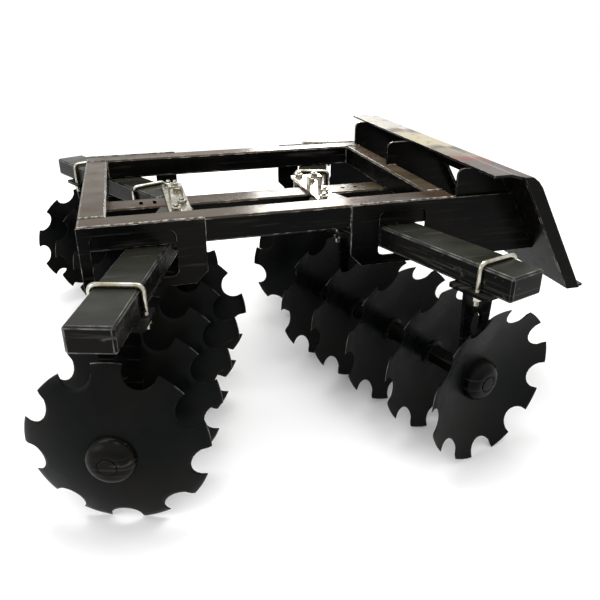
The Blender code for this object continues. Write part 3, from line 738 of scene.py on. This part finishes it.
# ---------------------------------------------------------------- bolts and welds
def make_strap_bolts():
    """Bolts through the straps, and an upright bracket with its own bolt over the beam."""
    for end in ("front", "rear"):
        low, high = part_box(f"strap_plate_{end}")
        shape = Shape()
        middle = (low[0] + high[0]) / 2
        centre = (low[1] + high[1]) / 2
        for side in (-1, 1):
            for inset, shift in STRAP_BOLTS:
                y = centre + side * ((high[1] - low[1]) / 2 - inset)
                place = Matrix.Translation((middle + shift, y, high[2]))
                shape.bolt(place @ Matrix.Scale(STRAP_BOLT_SCALE, 4))
        wall, half, rise = BRACKET_WALL, BRACKET_HALF_WIDTH, BRACKET_RISE
        channel = [(-half, 0), (-half + wall, 0), (-half + wall, rise - wall),
                   (half - wall, rise - wall), (half - wall, 0), (half, 0),
                   (half, rise), (-half, rise)]
        seat = Matrix.Translation((middle, centre, high[2]))
        upright = seat @ Matrix.Rotation(math.pi / 2, 4, "X")
        shape.prism(channel, -BRACKET_HALF_LENGTH, BRACKET_HALF_LENGTH, upright)
        shape.bolt(Matrix.Translation((middle, centre, high[2] + rise)))
        shape.finish(f"strap_bolts_{end}", ZINC, "frame")


def weld_rings(start, stop):
    """A rippled bead between two points."""
    start, stop = Vector(start), Vector(stop)
    run = (stop - start).normalized()
    side = run.orthogonal().normalized()
    other = run.cross(side)
    count = max(4, int((stop - start).length / WELD_STEP)) * 3
    rings = []
    for step in range(count + 1):
        ripple = 1.0 - WELD_DIP * (step % 3 == 0)
        if step in (0, count):
            ripple = 0.4
        centre = start.lerp(stop, step / count)
        ring = []
        for turn in range(8):
            angle = 2 * math.pi * turn / 8
            out = side * math.cos(angle) + other * math.sin(angle)
            ring.append(centre + out * WELD_RADIUS * ripple)
        rings.append(ring)
    return rings


def cross_member_seams():
    """Over the top and down the inner corner at both ends of each cross member."""
    seams = []
    for cross in ("front_cross_member", "rear_cross_member"):
        low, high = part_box(cross)
        inner = low[0] if cross.startswith("front") else high[0]
        for y in (low[1], high[1]):
            seams.append(((low[0] + WELD_CORNER, y, high[2]), (high[0] - WELD_CORNER, y, high[2])))
            seams.append(((inner, y, low[2] + WELD_CORNER), (inner, y, high[2] - WELD_CORNER)))
    return seams


def side_plate_seams():
    """Along the top of each side plate, and up its end that lies on the rail."""
    seams = []
    for word in ("right", "left"):
        rail_low, rail_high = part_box(f"side_rail_{word}")
        for end in ("front", "rear"):
            low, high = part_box(f"side_plate_{end}_{word}")
            y = low[1] if word == "left" else high[1]
            start = max(low[0], rail_low[0]) + WELD_END
            stop = min(high[0], rail_high[0]) - WELD_END
            seams.append(((start, y, rail_high[2]), (stop, y, rail_high[2])))
            edge = low[0] if end == "front" else high[0]
            seams.append(((edge, y, rail_low[2] + WELD_END), (edge, y, rail_high[2] - WELD_END)))
    return seams


def gusset_seams():
    """Along the front cross member's top at the middle gusset, up its face at the outer ones."""
    seams = []
    member_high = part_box("front_cross_member")[1]
    for word in ("right", "centre", "left"):
        low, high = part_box(f"gusset_{word}")
        for y in (low[1], high[1]):
            if word == "centre":
                start = (low[0] + WELD_END, y, member_high[2])
                stop = (member_high[0] - WELD_END, y, member_high[2])
            else:
                start = (low[0], y, low[2] + WELD_END)
                stop = (low[0], y, member_high[2] - WELD_END)
            seams.append((start, stop))
    return seams


def make_welds():
    """All beads of the frame in one piece."""
    shape = Shape()
    for start, stop in cross_member_seams() + side_plate_seams() + gusset_seams():
        shape.rings(weld_rings(start, stop), Matrix.Identity(4))
    shape.finish("weld_beads", WELD, "frame")


# ---------------------------------------------------------------- stage
def area_light(name, place, target, size, power, colour=(1, 1, 1)):
    data = bpy.data.lights.new(name, "AREA")
    data.shape = "RECTANGLE"
    data.size, data.size_y = size
    data.energy = power
    data.color = colour
    light = bpy.data.objects.new(name, data)
    light.location = place
    light.rotation_euler = (Vector(target) - Vector(place)).to_track_quat("-Z", "Y").to_euler()
    bpy.context.scene.collection.objects.link(light)


def make_stage():
    """A pale floor and white sky, a wide light overhead, a window behind and a soft fill."""
    bm = bmesh.new()
    bmesh.ops.create_grid(bm, x_segments=1, y_segments=1, size=FLOOR_HALF)
    mesh = bpy.data.meshes.new("floor")
    bm.to_mesh(mesh)
    bm.free()
    floor = bpy.data.objects.new("floor", mesh)
    bpy.context.scene.collection.objects.link(floor)
    pale = Nodes("pale_floor")
    pale.colour(pale.mix(pale.noise(2.0), (0.86, 0.86, 0.86), (0.90, 0.90, 0.90)))
    pale.shader.inputs["Roughness"].default_value = 0.9
    pale.shader.inputs["Specular IOR Level"].default_value = 0.1
    mesh.materials.append(pale.material)

    world = bpy.data.worlds.new("studio")
    world.use_nodes = True
    sky = world.node_tree.nodes["Background"]
    sky.inputs["Color"].default_value = (1.0, 1.0, 1.0, 1.0)
    sky.inputs["Strength"].default_value = SKY_STRENGTH
    bpy.context.scene.world = world
    area_light("overhead", place=(0.2, 0.3, 3.6), target=(0, 0, 0.5), size=(3.2, 2.4), power=110)
    area_light("back_window", place=(1.08, 3.4, 1.65), target=(0.1, 0, 0.6), size=(0.85, 1.3),
               power=60, colour=(1.0, 0.95, 0.88))
    area_light("side_fill", place=(-3.2, -1.6, 1.8), target=(0, 0, 0.4), size=(1.6, 1.6), power=35)


def make_camera():
    """Stands off the right rear corner and looks forwards and down."""
    azimuth, elevation = CAMERA_AZIMUTH, CAMERA_ELEVATION
    back = Vector((math.sin(azimuth) * math.cos(elevation),
                   -math.cos(azimuth) * math.cos(elevation), math.sin(elevation)))
    right = (-back).cross(Vector((0, 0, 1))).normalized()
    up = right.cross(-back)
    turn = Matrix((right, up, back)).transposed() @ Matrix.Rotation(CAMERA_ROLL, 3, "Z")
    data = bpy.data.cameras.new("camera")
    data.lens = CAMERA_LENS
    data.sensor_width = 36.0
    data.shift_x = CAMERA_SHIFT_X
    camera = bpy.data.objects.new("camera", data)
    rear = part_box("side_rail_right")[0][0]
    beam_low, beam_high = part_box("centre_beam")
    corner = Vector((rear, (beam_low[1] + beam_high[1]) / 2, 0.0))
    camera.matrix_world = Matrix.Translation(corner + Vector(CAMERA_PLACE)) @ turn.to_4x4()
    bpy.context.scene.collection.objects.link(camera)
    bpy.context.scene.camera = camera
    bpy.context.scene.view_settings.view_transform = "Standard"


make_discs()
make_axles()
make_hangers()
dress_frame()
make_strap_bolts()
make_welds()
make_stage()
make_camera()
